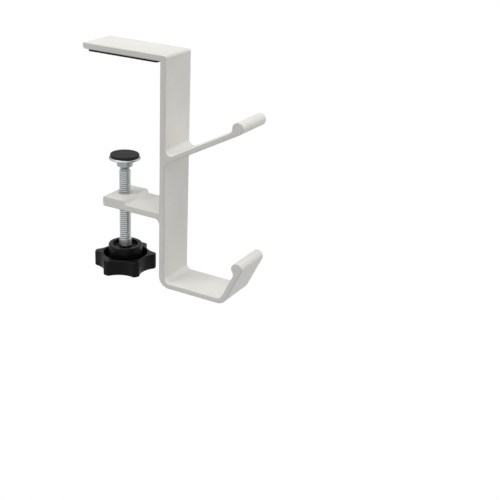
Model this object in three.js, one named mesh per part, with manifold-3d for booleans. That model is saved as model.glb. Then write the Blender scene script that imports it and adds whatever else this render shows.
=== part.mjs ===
// Desk bag hook: an extruded hanger that a hand screw clamps to the edge of a desk.
// Millimetres and degrees. +Z is up, +X points out from the desk, Y runs along the desk's edge.
// The origin lies on the underside of the top pad, on the axis of the clamp screw.

import * as THREE from 'three';
import { mergeVertices } from 'three/addons/utils/BufferGeometryUtils.js';
import Module from 'manifold-3d';

const wasm = await Module();
wasm.setup();

// The extrusion, sawn off in strips

const strip_width = 30;
const overall_height = 160;
const edge_break = 0.5;

// Top plate and spine

const plate_reach = 60.5;
const plate_thickness = 4;
const plate_end_round = 0.8;
const plate_end_undercut = 2;
const spine_thickness = 4.2;
const bend_round = 1.8;
const desk_corner_round = 0.6;

// Clamp lug, thicker where the screw is tapped through it

const jaw_opening = 99.6;
const jaw_depth = 38.4;
const lug_end_margin = 8;
const lug_boss_thickness = 7;
const lug_web_thickness = 4.2;
const lug_boss_inner_margin = 8.8;
const lug_step_run = 1;
const lug_end_round = 1.2;
const lug_step_round = 0.6;
const lug_root_round = 1.6;
const lug_under_round = 4;

// Upper arm for a headset

const arm_angle = 28.5;
const arm_root_drop = 71.1;
const arm_length = 62.7;
const arm_thickness = 3.4;
const arm_upper_round = 4;
const arm_lower_round = 4.5;

// Lower hook for a bag

const hook_reach = 51.5;
const hook_floor_thickness = 3.6;
const hook_heel_round = 8;
const hook_heel_inner_round = 4;
const hook_toe_round = 8;
const hook_toe_inner_round = 4.5;
const lip_angle = 64.5;
const lip_length = 29.1;
const lip_thickness = 3.9;

// Round bead along the free edge of the arm and of the lip

const bead_radius = 4;
const bead_blend = 3.6;

// Top pad

const pad_thickness = 1.5;
const pad_side_margin = 1.2;
const pad_end_margin = 3;
const pad_corner_round = 2;

// Clamp screw, trapezoidal thread of 8 mm and 1.5 mm pitch

const screw_radius = 4;
const screw_length = 70;
const screw_chamfer = 0.8;
const screw_tail_step = 1;
const thread_clearance = 0.3;
const hole_countersink = 0.6;

// The desk that the clamp is closed on

const desk_thickness = 70;

// Ball pin, in the end of the screw

const ball_radius = 3;
const neck_radius = 1.8;
const collar_radius = 3;
const collar_height = 1;
const shank_radius = 2;
const shank_length = 8;
const shank_end_gap = 1;
const running_gap = 0.2;

// Swivel foot and its pad

const foot_radius = 11;
const foot_plate_thickness = 1.6;
const foot_rim_radius = 10.2;
const foot_rim_drop = 0.9;
const foot_boss_wall = 2.2;
const foot_boss_round = 0.8;
const foot_roof = 1.2;
const socket_gap = 0.3;
const socket_mouth_gap = 0.6;
const foot_tilt = 8;
const tilt_gap = 0.3;
const foot_pad_thickness = 2;
const foot_pad_radius = 10;
const foot_pad_round = 0.5;

// Knob

const knob_lobes = 6;
const knob_rest_turn = 25.6;
const knob_lobe_reach = 4.9;
const knob_lobe_tip_width = 2.2;
const knob_lobe_tip_round = 2;
const knob_ring_wall = 1.4;
const moat_width = 3.6;
const knob_lobe_height = 11.2;
const knob_edge_round = 1.2;
const knob_height = 17.9;
const hub_wall = 2.4;
const hub_edge_round = 0.7;
const hub_rim_width = 3.1;
const hub_dish_depth = 2.4;
const hub_collar_rise = 1.6;
const hub_collar_step = 0.1;
const moat_floor = 3.3;
const knob_under_screw = 3.4;

// Knob insert, a turned bush that joins the screw to the knob

const insert_neck_wall = 0.4;
const insert_neck_rise = 4.4;
const insert_neck_chamfer = 0.4;
const insert_stem_step = 0.7;
const insert_body_radius = 5.4;
const insert_shoulder_depth = 1.2;
const insert_flange_radius = 6;
const insert_flange_height = 4.4;
const insert_gap = 0.3;
const insert_sides = 6;

// Knob cap, snapped into the knob from below

const cap_ledge = 0.6;
const cap_thickness = 1.4;
const cap_sink = 0.2;
const cap_gap = 0.3;
const cap_round = 0.4;
const cap_skirt_wall = 1.2;
const cap_skirt_height = 1.6;
const cap_skirt_gap = 0.5;

// How finely round shapes are cut into facets

const arc_step = 12;
const corner_arc_step = 24;
const round_sides = 36;
const small_sides = 28;
const tip_arc_step = 3;
const cut_overrun = 1;

// Radii worked out from the sizes above, from the middle outwards

const socket_radius = ball_radius + socket_gap;
const socket_mouth_radius = neck_radius + socket_mouth_gap;
const foot_boss_radius = socket_radius + foot_boss_wall;
const seat_radius = shank_radius + running_gap;
const screw_tail_radius = screw_radius - screw_tail_step;
const hole_radius = screw_radius + thread_clearance;
const insert_bore_radius = screw_tail_radius + insert_gap;
const insert_neck_radius = screw_radius + insert_neck_wall;
const insert_stem_radius = insert_neck_radius - insert_stem_step;
const stem_bore_radius = insert_stem_radius + insert_gap;
const hub_collar_radius = insert_neck_radius + hub_collar_step;
const knob_bore_radius = insert_body_radius + insert_gap;
const flange_corner_radius = insert_flange_radius / Math.cos(Math.PI / insert_sides);
const cap_skirt_inner_radius = flange_corner_radius + cap_skirt_gap;
const cap_skirt_radius = cap_skirt_inner_radius + cap_skirt_wall;
const cap_radius = cap_skirt_radius + cap_ledge;
const cap_pocket_radius = cap_radius + cap_gap;
const hub_radius = cap_pocket_radius + hub_wall;
const hub_dish_radius = hub_radius - hub_rim_width;
const moat_radius = hub_radius + moat_width;
const knob_valley_radius = moat_radius + knob_ring_wall;
const knob_radius = knob_valley_radius + knob_lobe_reach;

// Heights worked out from the sizes above

const plate_top_z = pad_thickness + plate_thickness;
const lug_top_z = pad_thickness - jaw_opening;
const lug_under_z = lug_top_z - lug_boss_thickness;
const foot_plate_z = -desk_thickness - foot_pad_thickness;
const ball_z = foot_plate_z - foot_roof - socket_radius;
const mouth_drop = Math.sqrt(socket_radius ** 2 - socket_mouth_radius ** 2);
const boss_under_z = ball_z - mouth_drop;
const boss_dip = foot_boss_radius * Math.sin(THREE.MathUtils.degToRad(foot_tilt));
const collar_top_z = boss_under_z - boss_dip - tilt_gap;
const screw_top_z = collar_top_z - collar_height - running_gap;
const screw_end_z = screw_top_z - screw_length;
const knob_under_z = screw_end_z - knob_under_screw;
const hub_top_z = knob_under_z + knob_height;
const dish_z = hub_top_z - hub_dish_depth;
const hub_collar_z = dish_z + hub_collar_rise;
const insert_top_z = hub_top_z + insert_neck_rise;

// Finishes

const powder_coat = new THREE.MeshStandardMaterial({ color: 0xdcdcd6, roughness: 0.55, metalness: 0 });
const black_rubber = new THREE.MeshStandardMaterial({ color: 0x1e1e1e, roughness: 0.9, metalness: 0 });
const zinc_plate = new THREE.MeshStandardMaterial({ color: 0xb4b9bb, roughness: 0.35, metalness: 1 });
const black_plastic = new THREE.MeshStandardMaterial({ color: 0x1a1a1b, roughness: 0.5, metalness: 0 });

// Outline helpers

// Points of an arc about (cx, cy), from one angle to another in degrees.
function arcPoints(cx, cy, radius, from, to, step = arc_step) {
  const count = Math.max(2, Math.ceil(Math.abs(to - from) / step));
  const points = [];
  for (let i = 0; i <= count; i += 1) {
    const angle = THREE.MathUtils.degToRad(from + ((to - from) * i) / count);
    points.push(new THREE.Vector2(cx + radius * Math.cos(angle), cy + radius * Math.sin(angle)));
  }
  return points;
}

// A closed outline from corners [x, y, round], each sharp or turned with its round.
function roundedOutline(corners, step = arc_step) {
  const outline = [];
  corners.forEach(([x, y, round], i) => {
    const here = new THREE.Vector2(x, y);
    if (!round) {
      outline.push(here);
      return;
    }
    const before = corners[(i + corners.length - 1) % corners.length];
    const after = corners[(i + 1) % corners.length];
    const back = new THREE.Vector2(before[0], before[1]).sub(here).normalize();
    const ahead = new THREE.Vector2(after[0], after[1]).sub(here).normalize();
    const half = Math.acos(THREE.MathUtils.clamp(back.dot(ahead), -1, 1)) / 2;
    const middle = back.clone().add(ahead).normalize();
    const centre = here.clone().addScaledVector(middle, round / Math.sin(half));
    const start = here.clone().addScaledVector(back, round / Math.tan(half)).sub(centre);
    const end = here.clone().addScaledVector(ahead, round / Math.tan(half)).sub(centre);
    const from = THREE.MathUtils.radToDeg(start.angle());
    let sweep = THREE.MathUtils.radToDeg(end.angle()) - from;
    sweep = THREE.MathUtils.euclideanModulo(sweep + 180, 360) - 180;
    outline.push(...arcPoints(centre.x, centre.y, round, from, from + sweep, step));
  });
  return outline;
}

// Solid helpers

// A revolved body from [radius, z] points that start and end on the axis, or close on themselves.
function turned(profile, sides = round_sides) {
  const points = profile.map(([radius, z]) => new THREE.Vector2(radius, z));
  const geometry = new THREE.LatheGeometry(points, sides);
  geometry.rotateX(Math.PI / 2);
  return geometry;
}

// A flat outline in X and Y raised along Z, with both rims rounded or left square.
function raised(points, height, rim = 0, rim_steps = 2) {
  const options = { depth: height, bevelEnabled: false };
  if (rim) {
    options.depth = height - 2 * rim;
    options.bevelEnabled = true;
    options.bevelThickness = rim;
    options.bevelSize = rim;
    options.bevelOffset = -rim;
    options.bevelSegments = rim_steps;
  }
  const geometry = new THREE.ExtrudeGeometry(new THREE.Shape(points), options);
  geometry.translate(0, 0, rim);
  return geometry;
}

// A three.js geometry as a manifold solid, ready to be joined or cut.
function solid(geometry) {
  const bare = geometry.clone();
  bare.deleteAttribute('normal');
  bare.deleteAttribute('uv');
  const merged = mergeVertices(bare);
  return new wasm.Manifold(new wasm.Mesh({
    numProp: 3,
    vertProperties: new Float32Array(merged.attributes.position.array),
    triVerts: new Uint32Array(merged.index.array),
  }));
}

// A manifold solid as a three.js geometry.
function geometryOf(body) {
  const mesh = body.getMesh();
  const geometry = new THREE.BufferGeometry();
  geometry.setAttribute('position', new THREE.BufferAttribute(new Float32Array(mesh.vertProperties), 3));
  geometry.setIndex(new THREE.BufferAttribute(new Uint32Array(mesh.triVerts), 1));
  geometry.computeVertexNormals();
  return geometry;
}

function piece(name, geometry, material) {
  const mesh = new THREE.Mesh(geometry, material);
  mesh.name = name;
  return mesh;
}

// Hanger frame
// One aluminium extrusion: plate, spine, arm, lug and hook. Its outline is drawn in X out from
// the spine's inner face and in height below the plate's top.

// The end of an arm or lip: a flat blade whose inner face sweeps up into a round bead, with the
// bead flush with the outer face. The foot is where the outer face's line starts.
function beadedEnd(foot_x, foot_y, angle, length, thickness) {
  const lean = THREE.MathUtils.degToRad(angle);
  const along = new THREE.Vector2(Math.cos(lean), Math.sin(lean));
  const across = new THREE.Vector2(-along.y, along.x);
  const place = (s, n) => new THREE.Vector2(foot_x, foot_y).addScaledVector(along, s).addScaledVector(across, n);
  const blend_rise = thickness + bead_blend - bead_radius;
  const blend_run = Math.sqrt((bead_blend + bead_radius) ** 2 - blend_rise ** 2);
  const tangent = THREE.MathUtils.radToDeg(Math.atan2(blend_rise, blend_run));
  const blend = place(length - blend_run, thickness + bead_blend);
  const bead = place(length, bead_radius);
  return [
    ...arcPoints(blend.x, blend.y, bead_blend, angle - 90, angle - tangent),
    ...arcPoints(bead.x, bead.y, bead_radius, angle + 180 - tangent, angle - 90).slice(1),
  ].map((point) => [point.x, point.y, 0]);
}

const arm_rise = arm_thickness / Math.cos(THREE.MathUtils.degToRad(arm_angle));
const lip_slope = 1 / Math.tan(THREE.MathUtils.degToRad(lip_angle));
const lip_run = lip_thickness / Math.sin(THREE.MathUtils.degToRad(lip_angle));
const floor_y = -overall_height + hook_floor_thickness;
const lug_reach = jaw_depth + lug_end_margin;
const lug_under_y = lug_under_z - plate_top_z;
const boss_start = jaw_depth - lug_boss_inner_margin;
const web_top_y = lug_under_y + lug_web_thickness;
const boss_top_y = lug_under_y + lug_boss_thickness;

const hanger_corners = [
  [-plate_reach, 0, plate_end_round],
  [spine_thickness, 0, bend_round],
  [spine_thickness, -arm_root_drop + arm_rise, arm_upper_round],
  ...beadedEnd(spine_thickness, -arm_root_drop, arm_angle, arm_length, arm_thickness),
  [spine_thickness, -arm_root_drop, arm_lower_round],
  [spine_thickness, floor_y, hook_heel_inner_round],
  [hook_reach + hook_floor_thickness * lip_slope - lip_run, floor_y, hook_toe_inner_round],
  ...beadedEnd(hook_reach, -overall_height, lip_angle, lip_length, lip_thickness),
  [hook_reach, -overall_height, hook_toe_round],
  [0, -overall_height, hook_heel_round],
  [0, lug_under_y, lug_under_round],
  [-lug_reach, lug_under_y, lug_end_round],
  [-lug_reach, boss_top_y, lug_end_round],
  [-boss_start, boss_top_y, lug_step_round],
  [-boss_start + lug_step_run, web_top_y, lug_step_round],
  [0, web_top_y, lug_root_round],
  [0, -plate_thickness, desk_corner_round],
  [-plate_reach, -plate_thickness, plate_end_undercut],
];

const strip = raised(roundedOutline(hanger_corners), strip_width, edge_break, 1);
strip.rotateX(Math.PI / 2);
strip.translate(jaw_depth, strip_width / 2, plate_top_z);

const hole = turned([
  [0, lug_under_z - cut_overrun],
  [hole_radius + hole_countersink + cut_overrun, lug_under_z - cut_overrun],
  [hole_radius, lug_under_z + hole_countersink],
  [hole_radius, lug_top_z - hole_countersink],
  [hole_radius + hole_countersink + cut_overrun, lug_top_z + cut_overrun],
  [0, lug_top_z + cut_overrun],
]);
const hanger_frame = geometryOf(solid(strip).subtract(solid(hole)));

// Top pad
// Die-cut rubber sheet glued under the plate, square to the desk.

const pad_free_end = jaw_depth - plate_reach + pad_end_margin;
const pad_spine_end = jaw_depth - pad_end_margin;
const pad_half_width = strip_width / 2 - pad_side_margin;
const top_pad = raised(roundedOutline([
  [pad_free_end, -pad_half_width, pad_corner_round],
  [pad_spine_end, -pad_half_width, pad_corner_round],
  [pad_spine_end, pad_half_width, pad_corner_round],
  [pad_free_end, pad_half_width, pad_corner_round],
], corner_arc_step), pad_thickness);

// Foot pad
// Rubber disc glued on the foot. Its upper face bears on the underside of the desk.

const foot_pad = turned([
  [0, foot_plate_z],
  [foot_pad_radius, foot_plate_z],
  [foot_pad_radius, -desk_thickness - foot_pad_round],
  [foot_pad_radius - foot_pad_round, -desk_thickness],
  [0, -desk_thickness],
]);

// Swivel foot
// Pressed steel disc with a boss whose socket is closed in round the ball.

const socket_points = arcPoints(
  0, ball_z, socket_radius,
  THREE.MathUtils.radToDeg(Math.asin(-mouth_drop / socket_radius)), 90, arc_step,
);
const swivel_foot = turned([
  ...socket_points.slice(0, -1).map((point) => [point.x, point.y]),
  [0, ball_z + socket_radius],
  [0, foot_plate_z],
  [foot_rim_radius, foot_plate_z],
  [foot_radius, foot_plate_z - foot_rim_drop],
  [foot_radius, foot_plate_z - foot_rim_drop - foot_plate_thickness / 2],
  [foot_rim_radius, foot_plate_z - foot_plate_thickness],
  [foot_boss_radius + foot_boss_round, foot_plate_z - foot_plate_thickness],
  [foot_boss_radius, foot_plate_z - foot_plate_thickness - foot_boss_round],
  [foot_boss_radius, boss_under_z + foot_boss_round],
  [foot_boss_radius - foot_boss_round, boss_under_z],
  [socket_mouth_radius, boss_under_z],
].reverse());

// Ball pin
// Turned steel pin. The ball carries the foot, the collar takes the thrust and the shank
// stands in the bored end of the screw, so that the foot need not turn with the screw.

const neck_drop = Math.sqrt(ball_radius ** 2 - neck_radius ** 2);
const ball_points = arcPoints(
  0, ball_z, ball_radius,
  THREE.MathUtils.radToDeg(Math.asin(-neck_drop / ball_radius)), 90, arc_step,
);
const shank_end_z = collar_top_z - collar_height - shank_length;
const ball_pin = turned([
  [0, shank_end_z],
  [shank_radius, shank_end_z],
  [shank_radius, collar_top_z - collar_height],
  [collar_radius, collar_top_z - collar_height],
  [collar_radius, collar_top_z],
  [neck_radius, collar_top_z],
  ...ball_points.slice(0, -1).map((point) => [point.x, point.y]),
  [0, ball_z + ball_radius],
], small_sides);

// Clamp screw
// Tr 8 x 1.5 rod, bored at the top for the ball pin. Its turned-down tail is fixed in the knob's insert.

const seat_z = screw_top_z - shank_length - running_gap - shank_end_gap;
const clamp_screw = turned([
  [0, screw_end_z],
  [screw_tail_radius - screw_chamfer, screw_end_z],
  [screw_tail_radius, screw_end_z + screw_chamfer],
  [screw_tail_radius, insert_top_z],
  [screw_radius, insert_top_z],
  [screw_radius, screw_top_z - screw_chamfer],
  [screw_radius - screw_chamfer, screw_top_z],
  [seat_radius, screw_top_z],
  [seat_radius, seat_z],
  [0, seat_z],
]);

// Knob insert
// Turned steel bush. Its neck stands on the hub's collar, a narrower stem goes down through the
// collar, and its hexagonal flange keys it in the knob.

const lobe_top_z = knob_under_z + knob_lobe_height;
const flange_under_z = knob_under_z + cap_sink + cap_thickness + cap_gap;
const flange_top_z = flange_under_z + insert_flange_height;
const shoulder_z = dish_z - insert_shoulder_depth;

// A regular prism with the insert's number of sides, flat faces at the given distance.
function hexPrism(apothem, low_z, high_z) {
  const corner = apothem / Math.cos(Math.PI / insert_sides);
  const prism = new THREE.CylinderGeometry(corner, corner, high_z - low_z, insert_sides);
  prism.rotateX(Math.PI / 2);
  prism.translate(0, 0, (high_z + low_z) / 2);
  return prism;
}

const insert_stem = solid(turned([
  [0, flange_under_z],
  [insert_body_radius, flange_under_z],
  [insert_body_radius, shoulder_z - insert_gap],
  [insert_stem_radius, shoulder_z - insert_gap],
  [insert_stem_radius, hub_collar_z + insert_gap],
  [insert_neck_radius, hub_collar_z + insert_gap],
  [insert_neck_radius, insert_top_z - insert_neck_chamfer],
  [insert_neck_radius - insert_neck_chamfer, insert_top_z],
  [0, insert_top_z],
]));
const insert_bore = solid(turned([
  [0, flange_under_z - cut_overrun],
  [insert_bore_radius, flange_under_z - cut_overrun],
  [insert_bore_radius, insert_top_z + cut_overrun],
  [0, insert_top_z + cut_overrun],
]));
const insert_flange = solid(hexPrism(insert_flange_radius, flange_under_z, flange_top_z));
const knob_insert = geometryOf(insert_stem.add(insert_flange).subtract(insert_bore));

// Knob body
// Moulded black plastic: six lobes round a moat, with a hub that stands above them. In the hub's
// dished top a collar stands round the insert's stem.

// The lobed outline: between each two lobes a round valley, which runs into the rounded corners
// of the lobes' tips. The valley's radius is the one that touches its floor and both corners.
function lobedOutline() {
  const pitch = 360 / knob_lobes;
  const tip_half = THREE.MathUtils.radToDeg(knob_lobe_tip_width / knob_radius / 2);
  const swing = pitch / 2 - tip_half;
  const swing_rad = THREE.MathUtils.degToRad(swing);
  const corner_radius = knob_radius - knob_lobe_tip_round;
  const out = corner_radius * Math.cos(swing_rad) - knob_valley_radius;
  const aside = corner_radius * Math.sin(swing_rad);
  const cut_radius = (out ** 2 + aside ** 2 - knob_lobe_tip_round ** 2) / (out + knob_lobe_tip_round) / 2;
  const cut_centre = knob_valley_radius + cut_radius;
  const touch = THREE.MathUtils.radToDeg(Math.atan2(aside, cut_radius - out));
  const outline = [];
  for (let i = 0; i < knob_lobes; i += 1) {
    const lobe = knob_rest_turn + pitch * i;
    const valley = lobe + pitch / 2;
    const lobe_end = THREE.MathUtils.degToRad(lobe + tip_half);
    const next_start = THREE.MathUtils.degToRad(lobe + pitch - tip_half);
    const valley_rad = THREE.MathUtils.degToRad(valley);
    outline.push(...arcPoints(0, 0, knob_radius, lobe - tip_half, lobe + tip_half, tip_arc_step).slice(1, -1));
    outline.push(...arcPoints(
      corner_radius * Math.cos(lobe_end), corner_radius * Math.sin(lobe_end),
      knob_lobe_tip_round, lobe + tip_half, valley + touch, corner_arc_step,
    ));
    outline.push(...arcPoints(
      cut_centre * Math.cos(valley_rad), cut_centre * Math.sin(valley_rad),
      cut_radius, valley + 180 + touch, valley + 180 - touch,
    ).slice(1, -1));
    outline.push(...arcPoints(
      corner_radius * Math.cos(next_start), corner_radius * Math.sin(next_start),
      knob_lobe_tip_round, valley - touch, lobe + pitch - tip_half, corner_arc_step,
    ));
  }
  return outline;
}

const lobes = raised(lobedOutline(), knob_lobe_height, knob_edge_round);
lobes.translate(0, 0, knob_under_z);

const moat_floor_z = knob_under_z + moat_floor;
const moat = turned([
  [hub_radius, moat_floor_z],
  [moat_radius, moat_floor_z],
  [moat_radius, lobe_top_z + cut_overrun],
  [hub_radius, lobe_top_z + cut_overrun],
  [hub_radius, moat_floor_z],
]);

const hub = turned([
  [0, moat_floor_z],
  [hub_radius, moat_floor_z],
  [hub_radius, hub_top_z - hub_edge_round],
  [hub_radius - hub_edge_round, hub_top_z],
  [hub_dish_radius, hub_top_z],
  [hub_dish_radius, dish_z],
  [hub_collar_radius, dish_z],
  [hub_collar_radius, hub_collar_z],
  [0, hub_collar_z],
]);

const cap_pocket_z = flange_under_z;
const skirt_pocket_z = cap_pocket_z + cap_skirt_height + cap_gap;
const knob_bore = turned([
  [0, knob_under_z - cut_overrun],
  [cap_pocket_radius, knob_under_z - cut_overrun],
  [cap_pocket_radius, cap_pocket_z],
  [cap_skirt_radius + cap_gap, cap_pocket_z],
  [cap_skirt_radius + cap_gap, skirt_pocket_z],
  [knob_bore_radius, skirt_pocket_z],
  [knob_bore_radius, shoulder_z],
  [stem_bore_radius, shoulder_z],
  [stem_bore_radius, hub_collar_z + cut_overrun],
  [0, hub_collar_z + cut_overrun],
]);
const hex_pocket = hexPrism(insert_flange_radius + insert_gap, cap_pocket_z, flange_top_z + insert_gap);
const knob_body = geometryOf(
  solid(lobes).subtract(solid(moat)).add(solid(hub)).subtract(solid(knob_bore)).subtract(solid(hex_pocket)),
);

// Knob cap
// Thin moulded disc with a snap skirt that hides the insert's flange.

const cap_under_z = knob_under_z + cap_sink;
const cap_top_z = cap_under_z + cap_thickness;
const knob_cap = turned([
  [0, cap_under_z],
  [cap_radius - cap_round, cap_under_z],
  [cap_radius, cap_under_z + cap_round],
  [cap_radius, cap_top_z],
  [cap_skirt_radius, cap_top_z],
  [cap_skirt_radius, cap_top_z + cap_skirt_height],
  [cap_skirt_inner_radius, cap_top_z + cap_skirt_height],
  [cap_skirt_inner_radius, cap_top_z],
  [0, cap_top_z],
]);

// The assembly

const hook = new THREE.Group();
hook.add(
  piece('hanger_frame', hanger_frame, powder_coat),
  piece('top_pad', top_pad, black_rubber),
  piece('foot_pad', foot_pad, black_rubber),
  piece('swivel_foot', swivel_foot, zinc_plate),
  piece('ball_pin', ball_pin, zinc_plate),
  piece('clamp_screw', clamp_screw, zinc_plate),
  piece('knob_insert', knob_insert, zinc_plate),
  piece('knob_body', knob_body, black_plastic),
  piece('knob_cap', knob_cap, black_plastic),
);

export default hook;
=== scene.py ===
import math

import bmesh
import bpy
from mathutils import Matrix, Vector


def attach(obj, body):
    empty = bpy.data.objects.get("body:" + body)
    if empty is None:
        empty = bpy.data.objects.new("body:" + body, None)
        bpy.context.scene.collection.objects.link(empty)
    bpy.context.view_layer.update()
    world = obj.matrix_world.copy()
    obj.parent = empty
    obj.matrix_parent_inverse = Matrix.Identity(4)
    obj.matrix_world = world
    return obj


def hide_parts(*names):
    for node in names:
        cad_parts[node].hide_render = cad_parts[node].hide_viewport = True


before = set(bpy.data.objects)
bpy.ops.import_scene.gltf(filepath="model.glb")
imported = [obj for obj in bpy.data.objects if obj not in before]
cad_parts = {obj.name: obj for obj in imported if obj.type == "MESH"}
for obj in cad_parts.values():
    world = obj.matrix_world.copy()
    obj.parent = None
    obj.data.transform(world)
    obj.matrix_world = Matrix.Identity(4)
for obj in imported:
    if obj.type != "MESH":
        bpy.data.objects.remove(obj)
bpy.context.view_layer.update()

# Hanger strip
# One aluminium extrusion with top plate, spine, upper arm, clamp lug and lower hook in one section.
# A 30 mm strip is sawn off the bar, its sawn edges are tumbled round, the lug is drilled and
# tapped, and the whole strip is powder-coated in a warm white.

mm = 0.001

strip_width = 30 * mm
overall_height = 160 * mm
edge_round = 0.5 * mm
edge_steps = 4
edge_shade_width = 0.25 * mm
plate_reach = 60.5 * mm
plate_thickness = 4 * mm
plate_end_round = 0.8 * mm
plate_end_undercut = 2 * mm
spine_thickness = 4.2 * mm
bend_round = 1.8 * mm
desk_corner_round = 0.6 * mm
jaw_opening = 99.6 * mm
jaw_depth = 38.4 * mm
pad_thickness = 1.5 * mm
lug_end_margin = 8 * mm
lug_boss_thickness = 7 * mm
lug_web_thickness = 4.2 * mm
lug_boss_inner_margin = 8.8 * mm
lug_step_run = 1 * mm
lug_end_round = 1.2 * mm
lug_step_round = 0.8 * mm
lug_root_round = 1.6 * mm
lug_under_round = 4 * mm
arm_angle = 28.5
arm_root_drop = 71.1 * mm
arm_length = 62.7 * mm
arm_thickness = 3.4 * mm
arm_upper_round = 4 * mm
arm_lower_round = 4.5 * mm
hook_reach = 51.5 * mm
hook_floor_thickness = 3.6 * mm
hook_heel_round = 8 * mm
hook_heel_inner_round = 4 * mm
hook_toe_round = 8 * mm
hook_toe_inner_round = 4.5 * mm
lip_angle = 64.5
lip_length = 29.09 * mm
lip_thickness = 3.9 * mm
bead_radius = 4 * mm
bead_blend = 3.6 * mm
tapped_hole_radius = 4.08 * mm
tapped_hole_countersink = 0.5 * mm
tapped_hole_sides = 64
plate_top = pad_thickness + plate_thickness
lug_under = pad_thickness - jaw_opening - lug_boss_thickness


def arc(cx, cy, radius, start, end, step=4):
    """Points of an arc about (cx, cy), from one angle to another in degrees."""
    count = max(2, math.ceil(abs(end - start) / step))
    angles = [math.radians(start + (end - start) * i / count) for i in range(count + 1)]
    return [(cx + radius * math.cos(a), cy + radius * math.sin(a)) for a in angles]


def rounded(corners):
    """A closed outline from corners (x, y, round), each sharp or turned with its round."""
    outline = []
    for i, (x, y, turn) in enumerate(corners):
        here = Vector((x, y))
        if not turn:
            outline.append((x, y))
            continue
        back = (Vector(corners[i - 1][:2]) - here).normalized()
        ahead = (Vector(corners[(i + 1) % len(corners)][:2]) - here).normalized()
        half = math.acos(max(-1, min(1, back.dot(ahead)))) / 2
        centre = here + (back + ahead).normalized() * (turn / math.sin(half))
        first = here + back * (turn / math.tan(half)) - centre
        last = here + ahead * (turn / math.tan(half)) - centre
        start = math.degrees(math.atan2(first.y, first.x))
        sweep = math.degrees(math.atan2(last.y, last.x)) - start
        sweep = (sweep + 180) % 360 - 180
        outline += arc(centre.x, centre.y, turn, start, start + sweep)
    return outline


def beaded_end(foot_x, foot_y, angle, length, thickness):
    """A blade's free end: its inner face sweeps up into a round bead, flush with the outer face."""
    lean = math.radians(angle)
    along = Vector((math.cos(lean), math.sin(lean)))
    across = Vector((-along.y, along.x))
    rise = thickness + bead_blend - bead_radius
    run = math.sqrt((bead_blend + bead_radius) ** 2 - rise ** 2)
    tangent = math.degrees(math.atan2(rise, run))
    foot = Vector((foot_x, foot_y))
    blend = foot + along * (length - run) + across * (thickness + bead_blend)
    bead = foot + along * length + across * bead_radius
    points = arc(blend.x, blend.y, bead_blend, angle - 90, angle - tangent)
    points += arc(bead.x, bead.y, bead_radius, angle + 180 - tangent, angle - 90)[1:]
    return [(x, y, 0) for x, y in points]


arm_rise = arm_thickness / math.cos(math.radians(arm_angle))
lip_slope = 1 / math.tan(math.radians(lip_angle))
lip_run = lip_thickness / math.sin(math.radians(lip_angle))
floor_top = -overall_height + hook_floor_thickness
lug_under_drop = lug_under - plate_top
lug_web_drop = lug_under_drop + lug_web_thickness
lug_boss_drop = lug_under_drop + lug_boss_thickness
lug_reach = jaw_depth + lug_end_margin
boss_start = jaw_depth - lug_boss_inner_margin

hanger_outline = rounded([
    (-plate_reach, 0, plate_end_round),
    (spine_thickness, 0, bend_round),
    (spine_thickness, -arm_root_drop + arm_rise, arm_upper_round),
    *beaded_end(spine_thickness, -arm_root_drop, arm_angle, arm_length, arm_thickness),
    (spine_thickness, -arm_root_drop, arm_lower_round),
    (spine_thickness, floor_top, hook_heel_inner_round),
    (hook_reach + hook_floor_thickness * lip_slope - lip_run, floor_top, hook_toe_inner_round),
    *beaded_end(hook_reach, -overall_height, lip_angle, lip_length, lip_thickness),
    (hook_reach, -overall_height, hook_toe_round),
    (0, -overall_height, hook_heel_round),
    (0, lug_under_drop, lug_under_round),
    (-lug_reach, lug_under_drop, lug_end_round),
    (-lug_reach, lug_boss_drop, lug_end_round),
    (-boss_start, lug_boss_drop, lug_step_round),
    (-boss_start + lug_step_run, lug_web_drop, lug_step_round),
    (0, lug_web_drop, lug_root_round),
    (0, -plate_thickness, desk_corner_round),
    (-plate_reach, -plate_thickness, plate_end_undercut),
])


def inset(outline, depth):
    """The outline moved inwards by depth. It runs clockwise, so inwards is to the right."""
    moved = []
    for i, point in enumerate(outline):
        here = Vector(point)
        one = (here - Vector(outline[i - 1])).normalized()
        two = (Vector(outline[(i + 1) % len(outline)]) - here).normalized()
        normals = Vector((one.y, -one.x)) + Vector((two.y, -two.x))
        moved.append(here + normals * (depth / (1 + one.dot(two))))
    return moved


def shown(name, bm, finish, crease=35):
    """A piece from its mesh: closed, facing out, smooth but for creases over some degrees."""
    bmesh.ops.recalc_face_normals(bm, faces=bm.faces)
    mesh = bpy.data.meshes.new(name)
    bm.to_mesh(mesh)
    bm.free()
    mesh.shade_smooth()
    mesh.set_sharp_from_angle(angle=math.radians(crease))
    mesh.materials.append(finish)
    piece = bpy.data.objects.new(name, mesh)
    bpy.context.scene.collection.objects.link(piece)
    weigh = piece.modifiers.new("flat faces stay flat", "WEIGHTED_NORMAL")
    weigh.keep_sharp = True
    weigh.weight = 100
    return piece


def linear(hex_colour):
    """An sRGB hex colour as linear RGBA."""
    shares = [int(hex_colour[i:i + 2], 16) / 255 for i in (1, 3, 5)]
    return [s / 12.92 if s <= 0.04045 else ((s + 0.055) / 1.055) ** 2.4 for s in shares] + [1.0]


def node(owner, kind, settings=None, links=None):
    """Adds one node to a material or a world, with its settings and with what feeds its inputs."""
    new = owner.node_tree.nodes.new(kind)
    for name, value in (settings or {}).items():
        if isinstance(name, int) or name in new.inputs:
            new.inputs[name].default_value = value
        else:
            setattr(new, name, value)
    for name, (source, output) in (links or {}).items():
        owner.node_tree.links.new(source.outputs[output], new.inputs[name])
    return new


def material(name):
    """A new material with an empty node tree."""
    made = bpy.data.materials.new(name)
    made.use_nodes = True
    made.node_tree.nodes.clear()
    return made


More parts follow.
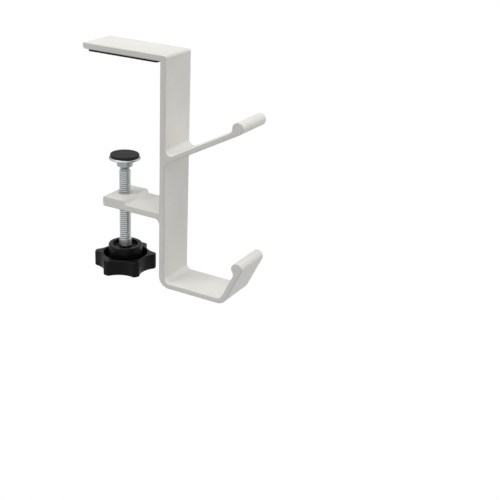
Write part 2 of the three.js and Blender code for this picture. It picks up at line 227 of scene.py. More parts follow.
# Polyester powder coat, sprayed dry and baked on. Satin, with the faint orange peel of powder that
# flowed as it cured, a fine speckle (drawn at 0.7 mm, coarser than real, so that it shows), a broad
# cloud, and painted shade: a band a shade darker along the sawn edges.
coat_white = "#E9E8E3"
coat_white_shade = "#E1E0DB"
painted_edge_shade = "#DDDCD7"
orange_peel = 1.3 * mm
orange_peel_depth = 0.03 * mm
speckle = 0.7 * mm
speckle_share = 0.45
cloud = 28 * mm
coat_tone_low = 0.45
coat_tone_high = 1.0
coat_gloss_low = 0.46
coat_gloss_high = 0.58

powder_coat = material("powder_coat_baked_satin")
coat_place = node(powder_coat, "ShaderNodeTexCoord")
coat_cloud = node(powder_coat, "ShaderNodeTexNoise", {"Scale": 1 / cloud, "Detail": 2},
                  {"Vector": (coat_place, "Object")})
coat_speckle = node(powder_coat, "ShaderNodeTexNoise", {"Scale": 1 / speckle, "Detail": 2},
                    {"Vector": (coat_place, "Object")})
coat_tone = node(powder_coat, "ShaderNodeMath", {"operation": "MULTIPLY_ADD", 1: speckle_share},
                 {0: (coat_speckle, "Fac"), 2: (coat_cloud, "Fac")})
coat_spread = node(powder_coat, "ShaderNodeMapRange",
                   {"From Min": coat_tone_low, "From Max": coat_tone_high},
                   {"Value": (coat_tone, "Value")})
coat_body = node(powder_coat, "ShaderNodeMix",
                 {"data_type": "RGBA", 6: linear(coat_white), 7: linear(coat_white_shade)},
                 {0: (coat_spread, "Result")})
# Painted shade: the sawn edges are drawn a shade darker, in the band that the mesh's edge share
# marks.
painted_edge_shade_share = node(powder_coat, "ShaderNodeAttribute", {"attribute_name": "edge"})
coat_colour = node(powder_coat, "ShaderNodeMix", {"data_type": "RGBA", 7: linear(painted_edge_shade)},
                   {0: (painted_edge_shade_share, "Fac"), 6: (coat_body, 2)})
coat_peel = node(powder_coat, "ShaderNodeTexNoise", {"Scale": 1 / orange_peel, "Detail": 1},
                 {"Vector": (coat_place, "Object")})
coat_bump = node(powder_coat, "ShaderNodeBump", {"Strength": 0.6, "Distance": orange_peel_depth},
                 {"Height": (coat_peel, "Fac")})
coat_gloss = node(powder_coat, "ShaderNodeMapRange",
                  {"To Min": coat_gloss_low, "To Max": coat_gloss_high},
                  {"Value": (coat_speckle, "Fac")})
coat_shader = node(powder_coat, "ShaderNodeBsdfPrincipled", {"IOR": 1.5},
                   {"Base Color": (coat_colour, 2), "Roughness": (coat_gloss, "Result"),
                    "Normal": (coat_bump, "Normal")})
node(powder_coat, "ShaderNodeOutputMaterial", None, {"Surface": (coat_shader, "BSDF")})


def hanger_mesh():
    """The outline swept over the strip's width, rims rounded, with the tapped hole in the lug."""
    half = strip_width / 2
    # Each ring carries its share of the painted edge shade: all of it on the rounded rims, none a
    # little way in from them.
    rings = [(half, edge_shade_width + edge_round, 0)]
    for step in range(edge_steps + 1):
        angle = math.radians(90 * step / edge_steps)
        out = 1 - math.sin(angle)
        back = 1 - math.cos(angle)
        rings.append((half - edge_round * back, edge_round * out, 1))
    rings.append((half - edge_round - edge_shade_width, 0, 0))
    rings = [(-y, depth, share) for y, depth, share in rings] + rings[::-1]
    bm = bmesh.new()
    edge = bm.verts.layers.float.new("edge")
    loops = []
    for y, depth, share in rings:
        loop = []
        for x, z in inset(hanger_outline, depth):
            vert = bm.verts.new((x + jaw_depth, y, z + plate_top))
            vert[edge] = share
            loop.append(vert)
        loops.append(loop)
    count = len(hanger_outline)
    middle = len(rings) // 2 - 1
    bored = []
    for near in range(len(loops) - 1):
        for i in range(count):
            j = (i + 1) % count
            corners = [loops[near][i], loops[near][j], loops[near + 1][j], loops[near + 1][i]]
            low_x, high_x = sorted((corners[0].co.x, corners[1].co.x))
            level = abs(corners[0].co.z - corners[1].co.z) < edge_round / 100
            above_lug = corners[0].co.z - lug_under
            in_lug = -edge_round < above_lug < lug_boss_thickness + edge_round
            if near == middle and level and in_lug and low_x < 0 < high_x:
                bored.append(corners)
            else:
                bm.faces.new(corners)
    bm.faces.new(loops[0])
    bm.faces.new(loops[-1])
    sides = tapped_hole_sides
    bored.sort(key=lambda corners: corners[0].co.z)
    wall = []
    for corners, inward in zip(bored, (1, -1)):
        level = corners[0].co.z
        for radius, depth in ((tapped_hole_radius + tapped_hole_countersink, 0),
                              (tapped_hole_radius, tapped_hole_countersink)):
            wall.append([bm.verts.new((radius * math.cos(2 * math.pi * k / sides),
                                       radius * math.sin(2 * math.pi * k / sides),
                                       level + inward * depth)) for k in range(sides)])
        mouth = wall[-2]
        turns = [math.atan2(c.co.y, c.co.x) / (2 * math.pi) * sides for c in corners]
        nearest = [round(t) % sides for t in turns]
        for k in range(4):
            start, end = nearest[k], nearest[(k + 1) % 4]
            forward = (end - start) % sides
            step = 1 if forward <= sides / 2 else -1
            run = forward if step == 1 else sides - forward
            rim = [mouth[(start + step * n) % sides] for n in range(run + 1)]
            bm.faces.new([corners[k]] + rim + [corners[(k + 1) % 4]])
    wall = [wall[0], wall[1], wall[3], wall[2]]
    for one, two in zip(wall, wall[1:]):
        for k in range(sides):
            bm.faces.new([one[k], one[(k + 1) % sides], two[(k + 1) % sides], two[k]])
    return bm


hanger_strip = shown("hanger_strip", hanger_mesh(), powder_coat)
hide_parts("hanger_frame")
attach(hanger_strip, "hanger")

# Top pad
# A strip of black rubber sheet, die-cut and glued under the plate, so that it doesn't slip on the
# desk or mark it. Its cut rim is square and slightly rounded.

pad_side_margin = 1.2 * mm
pad_end_margin = 3 * mm
pad_corner_round = 2 * mm
pad_rim_round = 0.25 * mm


def loft(loops, closed=False):
    """A skin over loops of as many points each. A loop of one point closes the skin on the axis."""
    bm = bmesh.new()
    rows = [[bm.verts.new(point) for point in loop] for loop in loops]
    pairs = list(zip(rows, rows[1:]))
    if closed:
        pairs.append((rows[-1], rows[0]))
    for one, two in pairs:
        count = max(len(one), len(two))
        for k in range(count):
            corners = [one[k % len(one)], one[(k + 1) % len(one)],
                       two[(k + 1) % len(two)], two[k % len(two)]]
            bm.faces.new(list(dict.fromkeys(corners)))
    return bm


def rim(depth, start, end, steps=4):
    """A rounded rim as pairs (inset, height), between two angles in degrees; 0 is the side."""
    angles = [math.radians(start + (end - start) * i / steps) for i in range(steps + 1)]
    return [(depth * (1 - math.cos(a)), depth * math.sin(a)) for a in angles]


# Neoprene sheet, cured between cloth: matt black with a fine pressed grain of about 0.8 mm.
rubber_black = "#1B1B1B"
rubber_black_worn = "#2A2A29"
rubber_grain = 0.8 * mm
rubber_grain_depth = 0.05 * mm
rubber_cloud_size = 6 * mm

rubber = material("neoprene_sheet_pressed")
rubber_place = node(rubber, "ShaderNodeTexCoord")
rubber_cells = node(rubber, "ShaderNodeTexVoronoi", {"Scale": 1 / rubber_grain},
                    {"Vector": (rubber_place, "Object")})
rubber_cloud = node(rubber, "ShaderNodeTexNoise", {"Scale": 1 / rubber_cloud_size, "Detail": 3},
                    {"Vector": (rubber_place, "Object")})
rubber_colour = node(rubber, "ShaderNodeMix",
                     {"data_type": "RGBA", 6: linear(rubber_black), 7: linear(rubber_black_worn)},
                     {0: (rubber_cloud, "Fac")})
rubber_bump = node(rubber, "ShaderNodeBump", {"Strength": 0.6, "Distance": rubber_grain_depth},
                   {"Height": (rubber_cells, "Distance")})
rubber_shader = node(rubber, "ShaderNodeBsdfPrincipled",
                     {"IOR": 1.52, "Roughness": 0.85, "Specular IOR Level": 0.3},
                     {"Base Color": (rubber_colour, 2), "Normal": (rubber_bump, "Normal")})
node(rubber, "ShaderNodeOutputMaterial", None, {"Surface": (rubber_shader, "BSDF")})

pad_start = jaw_depth - plate_reach + pad_end_margin
pad_end = jaw_depth - pad_end_margin
pad_side = strip_width / 2 - pad_side_margin
pad_outline = rounded([
    (pad_start, -pad_side, pad_corner_round),
    (pad_start, pad_side, pad_corner_round),
    (pad_end, pad_side, pad_corner_round),
    (pad_end, -pad_side, pad_corner_round),
])
pad_centre = (jaw_depth - plate_reach / 2, 0)
pad_loops = [[(*pad_centre, 0)]]
for depth, height in reversed(rim(pad_rim_round, 0, 90)):
    pad_loops.append([(x, y, pad_rim_round - height) for x, y in inset(pad_outline, depth)])
for depth, height in rim(pad_rim_round, 0, 90):
    pad_loops.append([(x, y, pad_thickness - pad_rim_round + height)
                      for x, y in inset(pad_outline, depth)])
pad_loops.append([(*pad_centre, pad_thickness)])
grip_pad = shown("grip_pad", loft(pad_loops), rubber)
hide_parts("top_pad")
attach(grip_pad, "hanger")

# Ball pin
# A steel pin, turned from bar and zinc-plated. The ball carries the foot, the collar takes the
# thrust of the screw, and the shank stands in the screw's bored end.

desk_thickness = 70 * mm
foot_pad_thickness = 2 * mm
foot_roof = 1.2 * mm
ball_radius = 3 * mm
neck_radius = 1.8 * mm
collar_radius = 3 * mm
collar_height = 1 * mm
collar_rim = 0.15 * mm
shank_radius = 2 * mm
shank_length = 8 * mm
shank_chamfer = 0.5 * mm
running_gap = 0.2 * mm
socket_gap = 0.3 * mm
socket_mouth_gap = 0.6 * mm
foot_boss_wall = 2.2 * mm
socket_radius = ball_radius + socket_gap
socket_mouth_radius = neck_radius + socket_mouth_gap
foot_boss_radius = socket_radius + foot_boss_wall
foot_tilt = 8
tilt_gap = 0.3 * mm
foot_top = -desk_thickness - foot_pad_thickness
ball_height = foot_top - foot_roof - socket_radius
foot_under = ball_height - math.sqrt(socket_radius ** 2 - socket_mouth_radius ** 2)
collar_top = foot_under - foot_boss_radius * math.sin(math.radians(foot_tilt)) - tilt_gap
collar_under = collar_top - collar_height


def ring(radius, height, sides):
    """One loop of a turned piece: a circle, or its single point where the radius is nothing."""
    if radius == 0:
        return [(0, 0, height)]
    angles = [2 * math.pi * k / sides for k in range(sides)]
    return [(radius * math.cos(a), radius * math.sin(a), height) for a in angles]


def turned(profile, sides=72):
    """A piece turned about the screw's axis from (radius, height) pairs, from axis to axis."""
    return loft([ring(radius, height, sides) for radius, height in profile])


# Zinc plate over machined steel: a cool grey metal, softly bright, with faint lines of the turning
# tool round the axis (0.25 mm apart) and a slight cloud of chromate passivation.
zinc_grey = "#A6AAAA"
zinc_shade = "#959A9B"
tool_line = 0.25 * mm
tool_line_depth = 0.01 * mm
zinc_cloud_size = 3 * mm
zinc_gloss_low = 0.36
zinc_gloss_high = 0.5

zinc = material("zinc_plate_on_turned_steel")
zinc_place = node(zinc, "ShaderNodeTexCoord")
zinc_parts = node(zinc, "ShaderNodeSeparateXYZ", None, {"Vector": (zinc_place, "Object")})
zinc_lines = node(zinc, "ShaderNodeTexNoise",
                  {"noise_dimensions": "1D", "Scale": 1 / tool_line, "Detail": 2},
                  {"W": (zinc_parts, "Z")})
zinc_cloud = node(zinc, "ShaderNodeTexNoise", {"Scale": 1 / zinc_cloud_size, "Detail": 3},
                  {"Vector": (zinc_place, "Object")})
zinc_colour = node(zinc, "ShaderNodeMix",
                   {"data_type": "RGBA", 6: linear(zinc_grey), 7: linear(zinc_shade)},
                   {0: (zinc_cloud, "Fac")})
zinc_gloss = node(zinc, "ShaderNodeMapRange",
                  {"To Min": zinc_gloss_low, "To Max": zinc_gloss_high},
                  {"Value": (zinc_cloud, "Fac")})
zinc_bump = node(zinc, "ShaderNodeBump", {"Strength": 0.4, "Distance": tool_line_depth},
                 {"Height": (zinc_lines, "Fac")})
zinc_shader = node(zinc, "ShaderNodeBsdfPrincipled", {"Metallic": 1.0},
                   {"Base Color": (zinc_colour, 2), "Roughness": (zinc_gloss, "Result"),
                    "Normal": (zinc_bump, "Normal")})
node(zinc, "ShaderNodeOutputMaterial", None, {"Surface": (zinc_shader, "BSDF")})

neck_drop = math.sqrt(ball_radius ** 2 - neck_radius ** 2)
ball_start = math.degrees(math.asin(-neck_drop / ball_radius))
ball_turn = arc(0, ball_height, ball_radius, ball_start, 90, 6)[:-1]
thrust_pin = shown("thrust_pin", turned([
    (0, collar_under - shank_length),
    (shank_radius - shank_chamfer, collar_under - shank_length),
    (shank_radius, collar_under - shank_length + shank_chamfer),
    (shank_radius, collar_under),
    (collar_radius - collar_rim, collar_under),
    (collar_radius, collar_under + collar_rim),
    (collar_radius, collar_top - collar_rim),
    (collar_radius - collar_rim, collar_top),
    (neck_radius, collar_top),
    *ball_turn,
    (0, ball_height + ball_radius),
], 48), zinc)
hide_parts("ball_pin")
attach(thrust_pin, "thrust")

# Clamp foot
# A steel disc, pressed with a boss whose mouth is rolled in round the ball, so that the foot tilts
# but doesn't come off. Zinc-plated like the pin.

foot_radius = 11 * mm
foot_plate_thickness = 1.6 * mm
foot_rim_radius = 10.2 * mm
foot_rim_drop = 0.9 * mm
foot_plate_round = 0.5 * mm
foot_boss_round = 0.8 * mm
foot_boss_root = 1 * mm

plate_under = foot_top - foot_plate_thickness
mouth_angle = math.degrees(math.asin((foot_under - ball_height) / socket_radius))
socket_turn = arc(0, ball_height, socket_radius, mouth_angle, 90, 6)[:-1]
rolled_rim = arc(foot_radius - foot_plate_round, foot_top - foot_rim_drop,
                 foot_plate_round, 60, -60, 15)
boss_root = arc(foot_boss_radius + foot_boss_root, plate_under - foot_boss_root,
                foot_boss_root, 90, 180, 15)
boss_rim = arc(foot_boss_radius - foot_boss_round, foot_under + foot_boss_round,
               foot_boss_round, 0, -90, 15)
clamp_foot = shown("clamp_foot", turned([
    (0, foot_top),
    (foot_rim_radius, foot_top),
    *rolled_rim,
    (foot_rim_radius, plate_under),
    *boss_root,
    *boss_rim,
    *socket_turn,
    (0, ball_height + socket_radius),
]), zinc)
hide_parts("swivel_foot")
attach(clamp_foot, "foot")

# Foot pad
# A disc of the same rubber sheet as the top pad, glued on the foot. It bears on the desk's
# underside.

foot_pad_radius = 10 * mm
foot_pad_round = 0.5 * mm

foot_disc = shown("foot_disc", turned([
    (0, foot_top),
    (foot_pad_radius, foot_top),
    *arc(foot_pad_radius - foot_pad_round, -desk_thickness - foot_pad_round,
         foot_pad_round, 0, 90, 15),
    (0, -desk_thickness),
]), rubber)
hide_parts("foot_pad")
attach(foot_disc, "foot")

# Clamp screw
# A zinc-plated steel rod with a rolled trapezoidal thread of 1.5 mm pitch. It is bored at the top
# for the pin, and turned down at the bottom, where it is pressed into the knob's bush.

screw_radius = 4 * mm
screw_length = 70 * mm
thread_pitch = 1.5 * mm
thread_depth = 0.8 * mm
crest_share = 0.36
root_share = 0.3
thread_lead_in = 0.8 * mm
thread_overrun_turns = 1.5
thread_sides = 48
tail_radius = 3 * mm
tail_chamfer = 0.8 * mm
seat_radius = shank_radius + running_gap
seat_end_gap = 1.2 * mm
screw_top = collar_under - running_gap
screw_end = screw_top - screw_length
knob_under_screw = 3.4 * mm
knob_height = 17.9 * mm
bush_neck_rise = 4.4 * mm
knob_under = screw_end - knob_under_screw
hub_top = knob_under + knob_height
bush_top = hub_top + bush_neck_rise
seat_floor = screw_top - shank_length - seat_end_gap


def screw_mesh():
    """The thread follows its helix in four bands a turn, and both ends are cut square."""
    sides = thread_sides
    flank_share = (1 - crest_share - root_share) / 2
    bands = [(0, 0), (root_share, 0), (root_share + flank_share, 1), (1 - flank_share, 1)]
    turns = math.ceil((screw_top - bush_top) / thread_pitch + 2 * thread_overrun_turns)
    start = bush_top - thread_overrun_turns * thread_pitch
    bm = bmesh.new()
    rows = []
    for step in range(turns * sides + 1):
        angle = 2 * math.pi * step / sides
        row = []
        for share, crest in bands:
            height = start + thread_pitch * (step / sides + share)
            radius = screw_radius - thread_depth * (1 - crest)
            radius = min(radius, screw_radius - thread_lead_in + max(0, screw_top - height))
            row.append(bm.verts.new((radius * math.cos(angle), radius * math.sin(angle), height)))
        rows.append(row)
    for step in range(len(rows) - 1):
        one, two = rows[step], rows[step + 1]
        if step + 1 + sides < len(rows):
            one = one + [rows[step + sides][0]]
            two = two + [rows[step + 1 + sides][0]]
        for k in range(len(one) - 1):
            bm.faces.new([one[k], two[k], two[k + 1], one[k + 1]])
    for level, up in ((screw_top, 1), (bush_top, -1)):
        everything = bm.verts[:] + bm.edges[:] + bm.faces[:]
        bmesh.ops.bisect_plane(bm, geom=everything, plane_co=(0, 0, level), plane_no=(0, 0, up),
                               clear_outer=True, dist=thread_pitch / 1000)
    for level, radius, down in (
            (screw_top, seat_radius, [(seat_radius, seat_floor), (0, seat_floor)]),
            (bush_top, tail_radius, [(tail_radius, screw_end + tail_chamfer),
                                     (tail_radius - tail_chamfer, screw_end), (0, screw_end)])):
        outer = [e for e in bm.edges if e.is_boundary
                 and all(abs(v.co.z - level) < thread_pitch / 100 for v in e.verts)]
        first = [bm.verts.new(point) for point in ring(radius, level, sides)]
        inner = [bm.edges.new((first[k], first[(k + 1) % sides])) for k in range(sides)]
        bmesh.ops.triangle_fill(bm, use_beauty=True, edges=outer + inner)
        for next_radius, height in down:
            second = [bm.verts.new(point) for point in ring(next_radius, height, sides)]
            for k in range(sides):
                corners = [first[k], first[(k + 1) % sides],
                           second[(k + 1) % len(second)], second[k % len(second)]]
                bm.faces.new(list(dict.fromkeys(corners)))
            first = second
    return bm


# Zinc plate over a rolled thread: the same metal, smoother than turned steel on the crests, with
# painted shade in the roots, drawn darker so that the turns read as fine dark lines. A tint on the
# metal's sheen dulls the rod's sides, where it is seen along its surface.
thread_crest = "#DDE0E0"
thread_flank = "#C8CCCC"
thread_root_shade = "#AAAEAF"
thread_graze = "#C0C4C5"
root_shade_share = 0.25
thread_cloud_size = 2.5 * mm
thread_crest_gloss = 0.3
thread_root_gloss = 0.5

rolled_zinc = material("zinc_plate_on_rolled_thread")
rolled_place = node(rolled_zinc, "ShaderNodeTexCoord")
rolled_flat = node(rolled_zinc, "ShaderNodeVectorMath", {"operation": "MULTIPLY", 1: (1, 1, 0)},
                   {0: (rolled_place, "Object")})
rolled_radius = node(rolled_zinc, "ShaderNodeVectorMath", {"operation": "LENGTH"},
                     {0: (rolled_flat, "Vector")})
# Painted shade: the colour darkens from the crests down into the thread's roots.
rolled_crest = node(rolled_zinc, "ShaderNodeMapRange",
                    {"From Min": screw_radius - thread_depth,
                     "From Max": screw_radius - thread_depth * root_shade_share},
                    {"Value": (rolled_radius, "Value")})
rolled_cloud = node(rolled_zinc, "ShaderNodeTexNoise",
                    {"Scale": 1 / thread_cloud_size, "Detail": 3},
                    {"Vector": (rolled_place, "Object")})
rolled_body = node(rolled_zinc, "ShaderNodeMix",
                   {"data_type": "RGBA", 6: linear(thread_crest), 7: linear(thread_flank)},
                   {0: (rolled_cloud, "Fac")})
rolled_colour = node(rolled_zinc, "ShaderNodeMix", {"data_type": "RGBA", 6: linear(thread_root_shade)},
                     {0: (rolled_crest, "Result"), 7: (rolled_body, 2)})
rolled_gloss = node(rolled_zinc, "ShaderNodeMapRange",
                    {"To Min": thread_root_gloss, "To Max": thread_crest_gloss},
                    {"Value": (rolled_crest, "Result")})
rolled_shader = node(rolled_zinc, "ShaderNodeBsdfPrincipled",
                     {"Metallic": 1.0, "Specular Tint": linear(thread_graze)},
                     {"Base Color": (rolled_colour, 2), "Roughness": (rolled_gloss, "Result")})
node(rolled_zinc, "ShaderNodeOutputMaterial", None, {"Surface": (rolled_shader, "BSDF")})

threaded_rod = shown("threaded_rod", screw_mesh(), rolled_zinc, 25)
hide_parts("clamp_screw")
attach(threaded_rod, "screw")

# Knob bush
# A steel bush, turned from hexagon bar and zinc-plated. The knob is moulded over it: the hexagon
# keys it, and its neck stands on the hub's collar, with a bright foot, and carries the screw's
# shoulder.

bush_neck_wall = 0.4 * mm
bush_neck_chamfer = 0.2 * mm
bush_foot_flare = 0.15 * mm
bush_foot_flare_rise = 0.125 * mm
bush_foot_height = 0.5 * mm
bush_stem_step = 0.7 * mm
bush_bore_gap = 0.3 * mm
bush_body_radius = 5.4 * mm
bush_shoulder_depth = 1.2 * mm
bush_gap = 0.3 * mm
bush_flat_radius = 6 * mm
bush_flange_height = 4.4 * mm
hub_dish_depth = 2.4 * mm
hub_collar_rise = 1.6 * mm
cap_sink = 0.2 * mm
cap_thickness = 1.4 * mm
cap_gap = 0.3 * mm
bush_sides = 72
bush_neck_radius = screw_radius + bush_neck_wall
bush_bore_radius = tail_radius + bush_bore_gap
bush_stem_radius = bush_neck_radius - bush_stem_step
bush_shoulder = hub_top - hub_dish_depth - bush_shoulder_depth
bush_foot = hub_top - hub_dish_depth + hub_collar_rise + bush_gap
bush_under = knob_under + cap_sink + cap_thickness + cap_gap
flange_top = bush_under + bush_flange_height


def hexagon(flat_radius, height):
    """One loop of the bush's hexagon, with as many points as its round loops."""
    loop = []
    for k in range(bush_sides):
        angle = 2 * math.pi * k / bush_sides
        from_flat = (angle + math.pi / 6) % (math.pi / 3) - math.pi / 6
        radius = flat_radius / math.cos(from_flat)
        loop.append((radius * math.cos(angle), radius * math.sin(angle), height))
    return loop


knob_bush = shown("knob_bush", loft([
    ring(bush_bore_radius, bush_under, bush_sides),
    hexagon(bush_flat_radius, bush_under),
    hexagon(bush_flat_radius, flange_top),
    ring(bush_body_radius, flange_top, bush_sides),
    ring(bush_body_radius, bush_shoulder - bush_gap, bush_sides),
    ring(bush_stem_radius, bush_shoulder - bush_gap, bush_sides),
    ring(bush_stem_radius, bush_foot, bush_sides),
    ring(bush_neck_radius, bush_foot, bush_sides),
    ring(bush_neck_radius + bush_foot_flare, bush_foot + bush_foot_flare_rise, bush_sides),
    ring(bush_neck_radius, bush_foot + bush_foot_height, bush_sides),
    ring(bush_neck_radius, bush_top - bush_neck_chamfer, bush_sides),
    ring(bush_neck_radius - bush_neck_chamfer, bush_top, bush_sides),
    ring(bush_bore_radius, bush_top, bush_sides),
], closed=True), zinc)
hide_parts("knob_insert")
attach(knob_bush, "screw")

# Knob
# A six-lobed hand knob, moulded in black glass-filled nylon. A moat runs round the hub to keep the
# walls thin, the hub stands above the lobes with a dished top and a collar round the bush's stem.

knob_lobes = 6
knob_rest_turn = 25.6
knob_lobe_height = 11.2 * mm
knob_edge_round = 1 * mm
lobe_reach = 4.9 * mm
lobe_tip_width = 2.2 * mm
lobe_tip_round = 2 * mm
ring_wall = 1.4 * mm
moat_width = 3.6 * mm
moat_floor = 3.3 * mm
moat_fillet = 1 * mm
moat_lip_round = 0.3 * mm
hub_wall = 2.4 * mm
hub_edge_round = 0.7 * mm
hub_rim_width = 3.1 * mm
dish_round = 0.3 * mm
hub_collar_step = 0.1 * mm
hub_collar_round = 0.15 * mm
cap_ledge = 0.6 * mm
cap_skirt_wall = 1.2 * mm
cap_skirt_height = 1.6 * mm
cap_skirt_gap = 0.5 * mm
pocket_chamfer = 0.3 * mm
flange_corner = bush_flat_radius / math.cos(math.pi / 6)
skirt_inner_radius = flange_corner + cap_skirt_gap
skirt_radius = skirt_inner_radius + cap_skirt_wall
cap_radius = skirt_radius + cap_ledge
cap_pocket_radius = cap_radius + cap_gap
hub_radius = cap_pocket_radius + hub_wall
dish_radius = hub_radius - hub_rim_width
hub_collar_radius = bush_neck_radius + hub_collar_step
moat_radius = hub_radius + moat_width
valley_radius = moat_radius + ring_wall
knob_radius = valley_radius + lobe_reach


def lobed_outline():
    """Six lobes with rounded tips, and between them valleys that touch the tips' corners."""
    pitch = 360 / knob_lobes
    tip_half = math.degrees(lobe_tip_width / knob_radius / 2)
    swing = math.radians(pitch / 2 - tip_half)
    corner_radius = knob_radius - lobe_tip_round
    out = corner_radius * math.cos(swing) - valley_radius
    aside = corner_radius * math.sin(swing)
    cut_radius = (out ** 2 + aside ** 2 - lobe_tip_round ** 2) / (out + lobe_tip_round) / 2
    cut_centre = valley_radius + cut_radius
    touch = math.degrees(math.atan2(aside, cut_radius - out))
    outline = []
    for i in range(knob_lobes):
        lobe = knob_rest_turn + pitch * i
        valley = lobe + pitch / 2
        end = math.radians(lobe + tip_half)
        following = math.radians(lobe + pitch - tip_half)
        middle = math.radians(valley)
        outline += arc(0, 0, knob_radius, lobe - tip_half, lobe + tip_half, 2)[1:-1]
        outline += arc(corner_radius * math.cos(end), corner_radius * math.sin(end),
                       lobe_tip_round, lobe + tip_half, valley + touch, 8)
        outline += arc(cut_centre * math.cos(middle), cut_centre * math.sin(middle),
                       cut_radius, valley + 180 + touch, valley + 180 - touch, 5)[1:-1]
        outline += arc(corner_radius * math.cos(following), corner_radius * math.sin(following),
                       lobe_tip_round, valley - touch, lobe + pitch - tip_half, 8)
    return outline


knob_outline = lobed_outline()
knob_turns = [math.atan2(y, x) for x, y in knob_outline]


def lobed(depth, height):
    """One loop of the knob's lobed outline, inset by depth. It runs anticlockwise."""
    points = inset(knob_outline[::-1], depth)[::-1]
    return [(x, y, knob_under + height) for x, y in points]


def round_loop(radius, height):
    """One round loop of the knob, with a point for each point of the lobed outline."""
    return [(radius * math.cos(a), radius * math.sin(a), knob_under + height) for a in knob_turns]


def round_loops(points):
    """Round loops of the knob from (radius, height) pairs."""
    return [round_loop(radius, height) for radius, height in points]


def knob_mesh():
    """One closed skin: bottom, lobed side, top, moat, hub, dish, bore and the cap's pocket."""
    pocket = cap_sink + cap_thickness + cap_gap
    skirt_pocket = pocket + cap_skirt_height + cap_gap
    shoulder = bush_shoulder - knob_under
    dish = knob_height - hub_dish_depth
    bore = bush_body_radius + bush_gap
    collar = dish + hub_collar_rise
    stem_bore = bush_stem_radius + bush_gap
    top_edge = knob_lobe_height - knob_edge_round
    loops = round_loops([
        (bore, skirt_pocket),
        (skirt_radius + cap_gap, skirt_pocket),
        (skirt_radius + cap_gap, pocket),
        (cap_pocket_radius, pocket),
        (cap_pocket_radius, pocket_chamfer),
        (cap_pocket_radius + pocket_chamfer, 0),
    ])
    loops += [lobed(depth, knob_edge_round - height)
              for depth, height in reversed(rim(knob_edge_round, 0, 90, 5))]
    loops += [lobed(depth, top_edge + height) for depth, height in rim(knob_edge_round, 0, 90, 5)]
    loops += round_loops(
        arc(moat_radius + moat_lip_round, knob_lobe_height - moat_lip_round,
            moat_lip_round, 90, 180, 30)
        + arc(moat_radius - moat_fillet, moat_floor + moat_fillet, moat_fillet, 0, -90, 22.5)
        + arc(hub_radius + moat_fillet, moat_floor + moat_fillet, moat_fillet, 270, 180, 22.5)
        + arc(hub_radius - hub_edge_round, knob_height - hub_edge_round,
              hub_edge_round, 0, 90, 18)
        + arc(dish_radius + dish_round, knob_height - dish_round, dish_round, 90, 180, 30)
        + arc(dish_radius - dish_round, dish + dish_round, dish_round, 0, -90, 30)
        + arc(hub_collar_radius + dish_round, dish + dish_round, dish_round, 270, 180, 30)
        + arc(hub_collar_radius - hub_collar_round, collar - hub_collar_round,
              hub_collar_round, 0, 90, 30)
        + [(stem_bore, collar), (stem_bore, shoulder), (bore, shoulder)])
    return loft(loops, closed=True)


# Glass-filled nylon, moulded in a spark-eroded tool: near black, half matt, with a fine even grain
# (0.35 mm, drawn at 0.5 mm so that it shows) and a film of dust that greys and dulls it unevenly.
nylon_black = "#08080A"
nylon_black_dusty = "#111112"
nylon_grain = 0.5 * mm
nylon_grain_depth = 0.04 * mm
nylon_cloud = 7 * mm
nylon_gloss_low = 0.3
nylon_gloss_high = 0.42

nylon = material("glass_filled_nylon_moulded")
nylon_place = node(nylon, "ShaderNodeTexCoord")
nylon_dust = node(nylon, "ShaderNodeTexNoise", {"Scale": 1 / nylon_cloud, "Detail": 4},
                  {"Vector": (nylon_place, "Object")})
nylon_pits = node(nylon, "ShaderNodeTexNoise", {"Scale": 1 / nylon_grain, "Detail": 2},
                  {"Vector": (nylon_place, "Object")})
nylon_colour = node(nylon, "ShaderNodeMix",
                    {"data_type": "RGBA", 6: linear(nylon_black), 7: linear(nylon_black_dusty)},
                    {0: (nylon_dust, "Fac")})
nylon_gloss = node(nylon, "ShaderNodeMapRange",
                   {"To Min": nylon_gloss_low, "To Max": nylon_gloss_high},
                   {"Value": (nylon_dust, "Fac")})
nylon_bump = node(nylon, "ShaderNodeBump", {"Strength": 0.5, "Distance": nylon_grain_depth},
                  {"Height": (nylon_pits, "Fac")})
nylon_shader = node(nylon, "ShaderNodeBsdfPrincipled", {"IOR": 1.5, "Specular IOR Level": 0.1},
                    {"Base Color": (nylon_colour, 2), "Roughness": (nylon_gloss, "Result"),
                     "Normal": (nylon_bump, "Normal")})
node(nylon, "ShaderNodeOutputMaterial", None, {"Surface": (nylon_shader, "BSDF")})

star_knob = shown("star_knob", knob_mesh(), nylon)
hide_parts("knob_body")
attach(star_knob, "screw")

# Knob cap
# A thin disc, moulded in the same nylon, with a skirt that snaps into the knob from below and hides
# the end of the bush.

cap_round = 0.4 * mm
cap_under = knob_under + cap_sink
cap_top = cap_under + cap_thickness

snap_cap = shown("snap_cap", turned([
    (0, cap_under),
    *arc(cap_radius - cap_round, cap_under + cap_round, cap_round, -90, 0, 18),
    (cap_radius, cap_top),
    (skirt_radius, cap_top),
    (skirt_radius, cap_top + cap_skirt_height),
    (skirt_inner_radius, cap_top + cap_skirt_height),
    (skirt_inner_radius, cap_top),
    (0, cap_top),
]), nylon)
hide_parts("knob_cap")
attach(snap_cap, "screw")

# Floor and light
# A plain white floor lies as far below as under a desk. One broad soft lamp hangs overhead, two
# stand in front, to the left and to the right, and a low one stands behind on the right. The sky
# adds a little. A lamp's azimuth, elevation and softness are in degrees, and its strength comes
# last.

floor_height = -720 * mm
floor_reach = 30.0
floor_white = "#FFFFFF"
floor_bounce = "#C0C0C0"
sky_light = 0.03
lamps = {
    "overhead": (0, 90, 50, 1.46),
    "front left": (-135, 50, 35, 1.04),
    "front right": (-45, 50, 50, 0.65),
    "right rear": (45, 20, 50, 0.98),
}

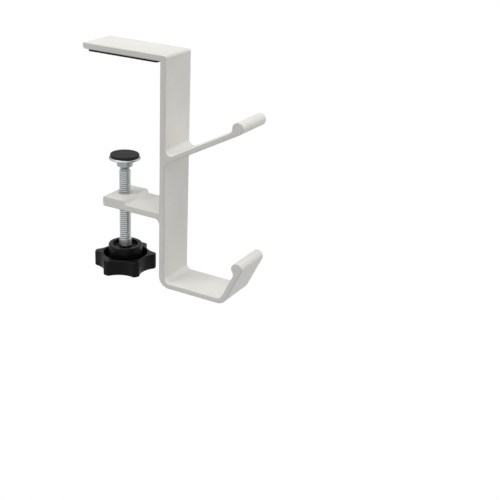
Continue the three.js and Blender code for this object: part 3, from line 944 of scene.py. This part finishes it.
floor_paint = material("matt_white_paint")
floor_ray = node(floor_paint, "ShaderNodeLightPath")
floor_seen = node(floor_paint, "ShaderNodeMath", {"operation": "MAXIMUM"},
                  {0: (floor_ray, "Is Camera Ray"), 1: (floor_ray, "Is Glossy Ray")})
floor_seen_through = node(floor_paint, "ShaderNodeMath", {"operation": "MAXIMUM"},
                          {0: (floor_seen, "Value"), 1: (floor_ray, "Is Transmission Ray")})
floor_colour = node(floor_paint, "ShaderNodeMix",
                    {"data_type": "RGBA", 6: linear(floor_bounce), 7: linear(floor_white)},
                    {0: (floor_seen_through, "Value")})
floor_shader = node(floor_paint, "ShaderNodeBsdfDiffuse", None, {"Color": (floor_colour, 2)})
node(floor_paint, "ShaderNodeOutputMaterial", None, {"Surface": (floor_shader, "BSDF")})

floor_mesh = bpy.data.meshes.new("floor")
floor_corners = [(x * floor_reach, y * floor_reach, floor_height)
                 for x, y in ((-1, -1), (1, -1), (1, 1), (-1, 1))]
floor_mesh.from_pydata(floor_corners, [], [(0, 1, 2, 3)])
floor_mesh.materials.append(floor_paint)
floor = bpy.data.objects.new("floor", floor_mesh)
bpy.context.scene.collection.objects.link(floor)

sky = bpy.data.worlds.new("even sky")
bpy.context.scene.world = sky
sky.use_nodes = True
sky.node_tree.nodes.clear()
sky_ray = node(sky, "ShaderNodeLightPath")
sky_seen = node(sky, "ShaderNodeMath", {"operation": "MAXIMUM"},
                {0: (sky_ray, "Is Camera Ray"), 1: (sky_ray, "Is Glossy Ray")})
sky_seen_through = node(sky, "ShaderNodeMath", {"operation": "MAXIMUM"},
                        {0: (sky_seen, "Value"), 1: (sky_ray, "Is Transmission Ray")})
sky_strength = node(sky, "ShaderNodeMapRange", {"To Min": sky_light, "To Max": 1.0},
                    {"Value": (sky_seen_through, "Value")})
sky_shader = node(sky, "ShaderNodeBackground", {"Color": (1, 1, 1, 1)},
                  {"Strength": (sky_strength, "Result")})
node(sky, "ShaderNodeOutputWorld", None, {"Surface": (sky_shader, "Background")})

for lamp_name, (lamp_azimuth, lamp_elevation, lamp_softness, lamp_power) in lamps.items():
    level = math.cos(math.radians(lamp_elevation))
    lamp_way = Vector((level * math.cos(math.radians(lamp_azimuth)),
                       level * math.sin(math.radians(lamp_azimuth)),
                       math.sin(math.radians(lamp_elevation))))
    lamp_light = bpy.data.lights.new(lamp_name, "SUN")
    lamp_light.energy = lamp_power
    lamp_light.angle = math.radians(lamp_softness)
    lamp = bpy.data.objects.new(lamp_name, lamp_light)
    lamp.rotation_euler = lamp_way.to_track_quat("Z", "Y").to_euler()
    bpy.context.scene.collection.objects.link(lamp)

# Camera
# The photograph's view, from in front of the desk's edge and above it.

camera_place = Vector((372.26, -515.74, 134.79)) * mm
camera_azimuth = math.radians(27.79)
camera_elevation = math.radians(23.38)
camera_roll = math.radians(2.70)
camera_lens = 69.27
camera_clip_start = 10 * mm

camera_right = Vector((math.cos(camera_azimuth), math.sin(camera_azimuth), 0))
camera_ahead = Vector((-math.sin(camera_azimuth) * math.cos(camera_elevation),
                       math.cos(camera_azimuth) * math.cos(camera_elevation),
                       -math.sin(camera_elevation)))
camera_up = camera_right.cross(camera_ahead)
turned_right = camera_right * math.cos(camera_roll) + camera_up * math.sin(camera_roll)
turned_up = camera_up * math.cos(camera_roll) - camera_right * math.sin(camera_roll)
camera_data = bpy.data.cameras.new("camera")
camera_data.lens = camera_lens
camera_data.clip_start = camera_clip_start
camera = bpy.data.objects.new("camera", camera_data)
camera.matrix_world = Matrix.Translation(camera_place) @ Matrix(
    (turned_right, turned_up, -camera_ahead)).transposed().to_4x4()
bpy.context.scene.collection.objects.link(camera)
bpy.context.scene.camera = camera
bpy.context.scene.view_settings.view_transform = "Standard"
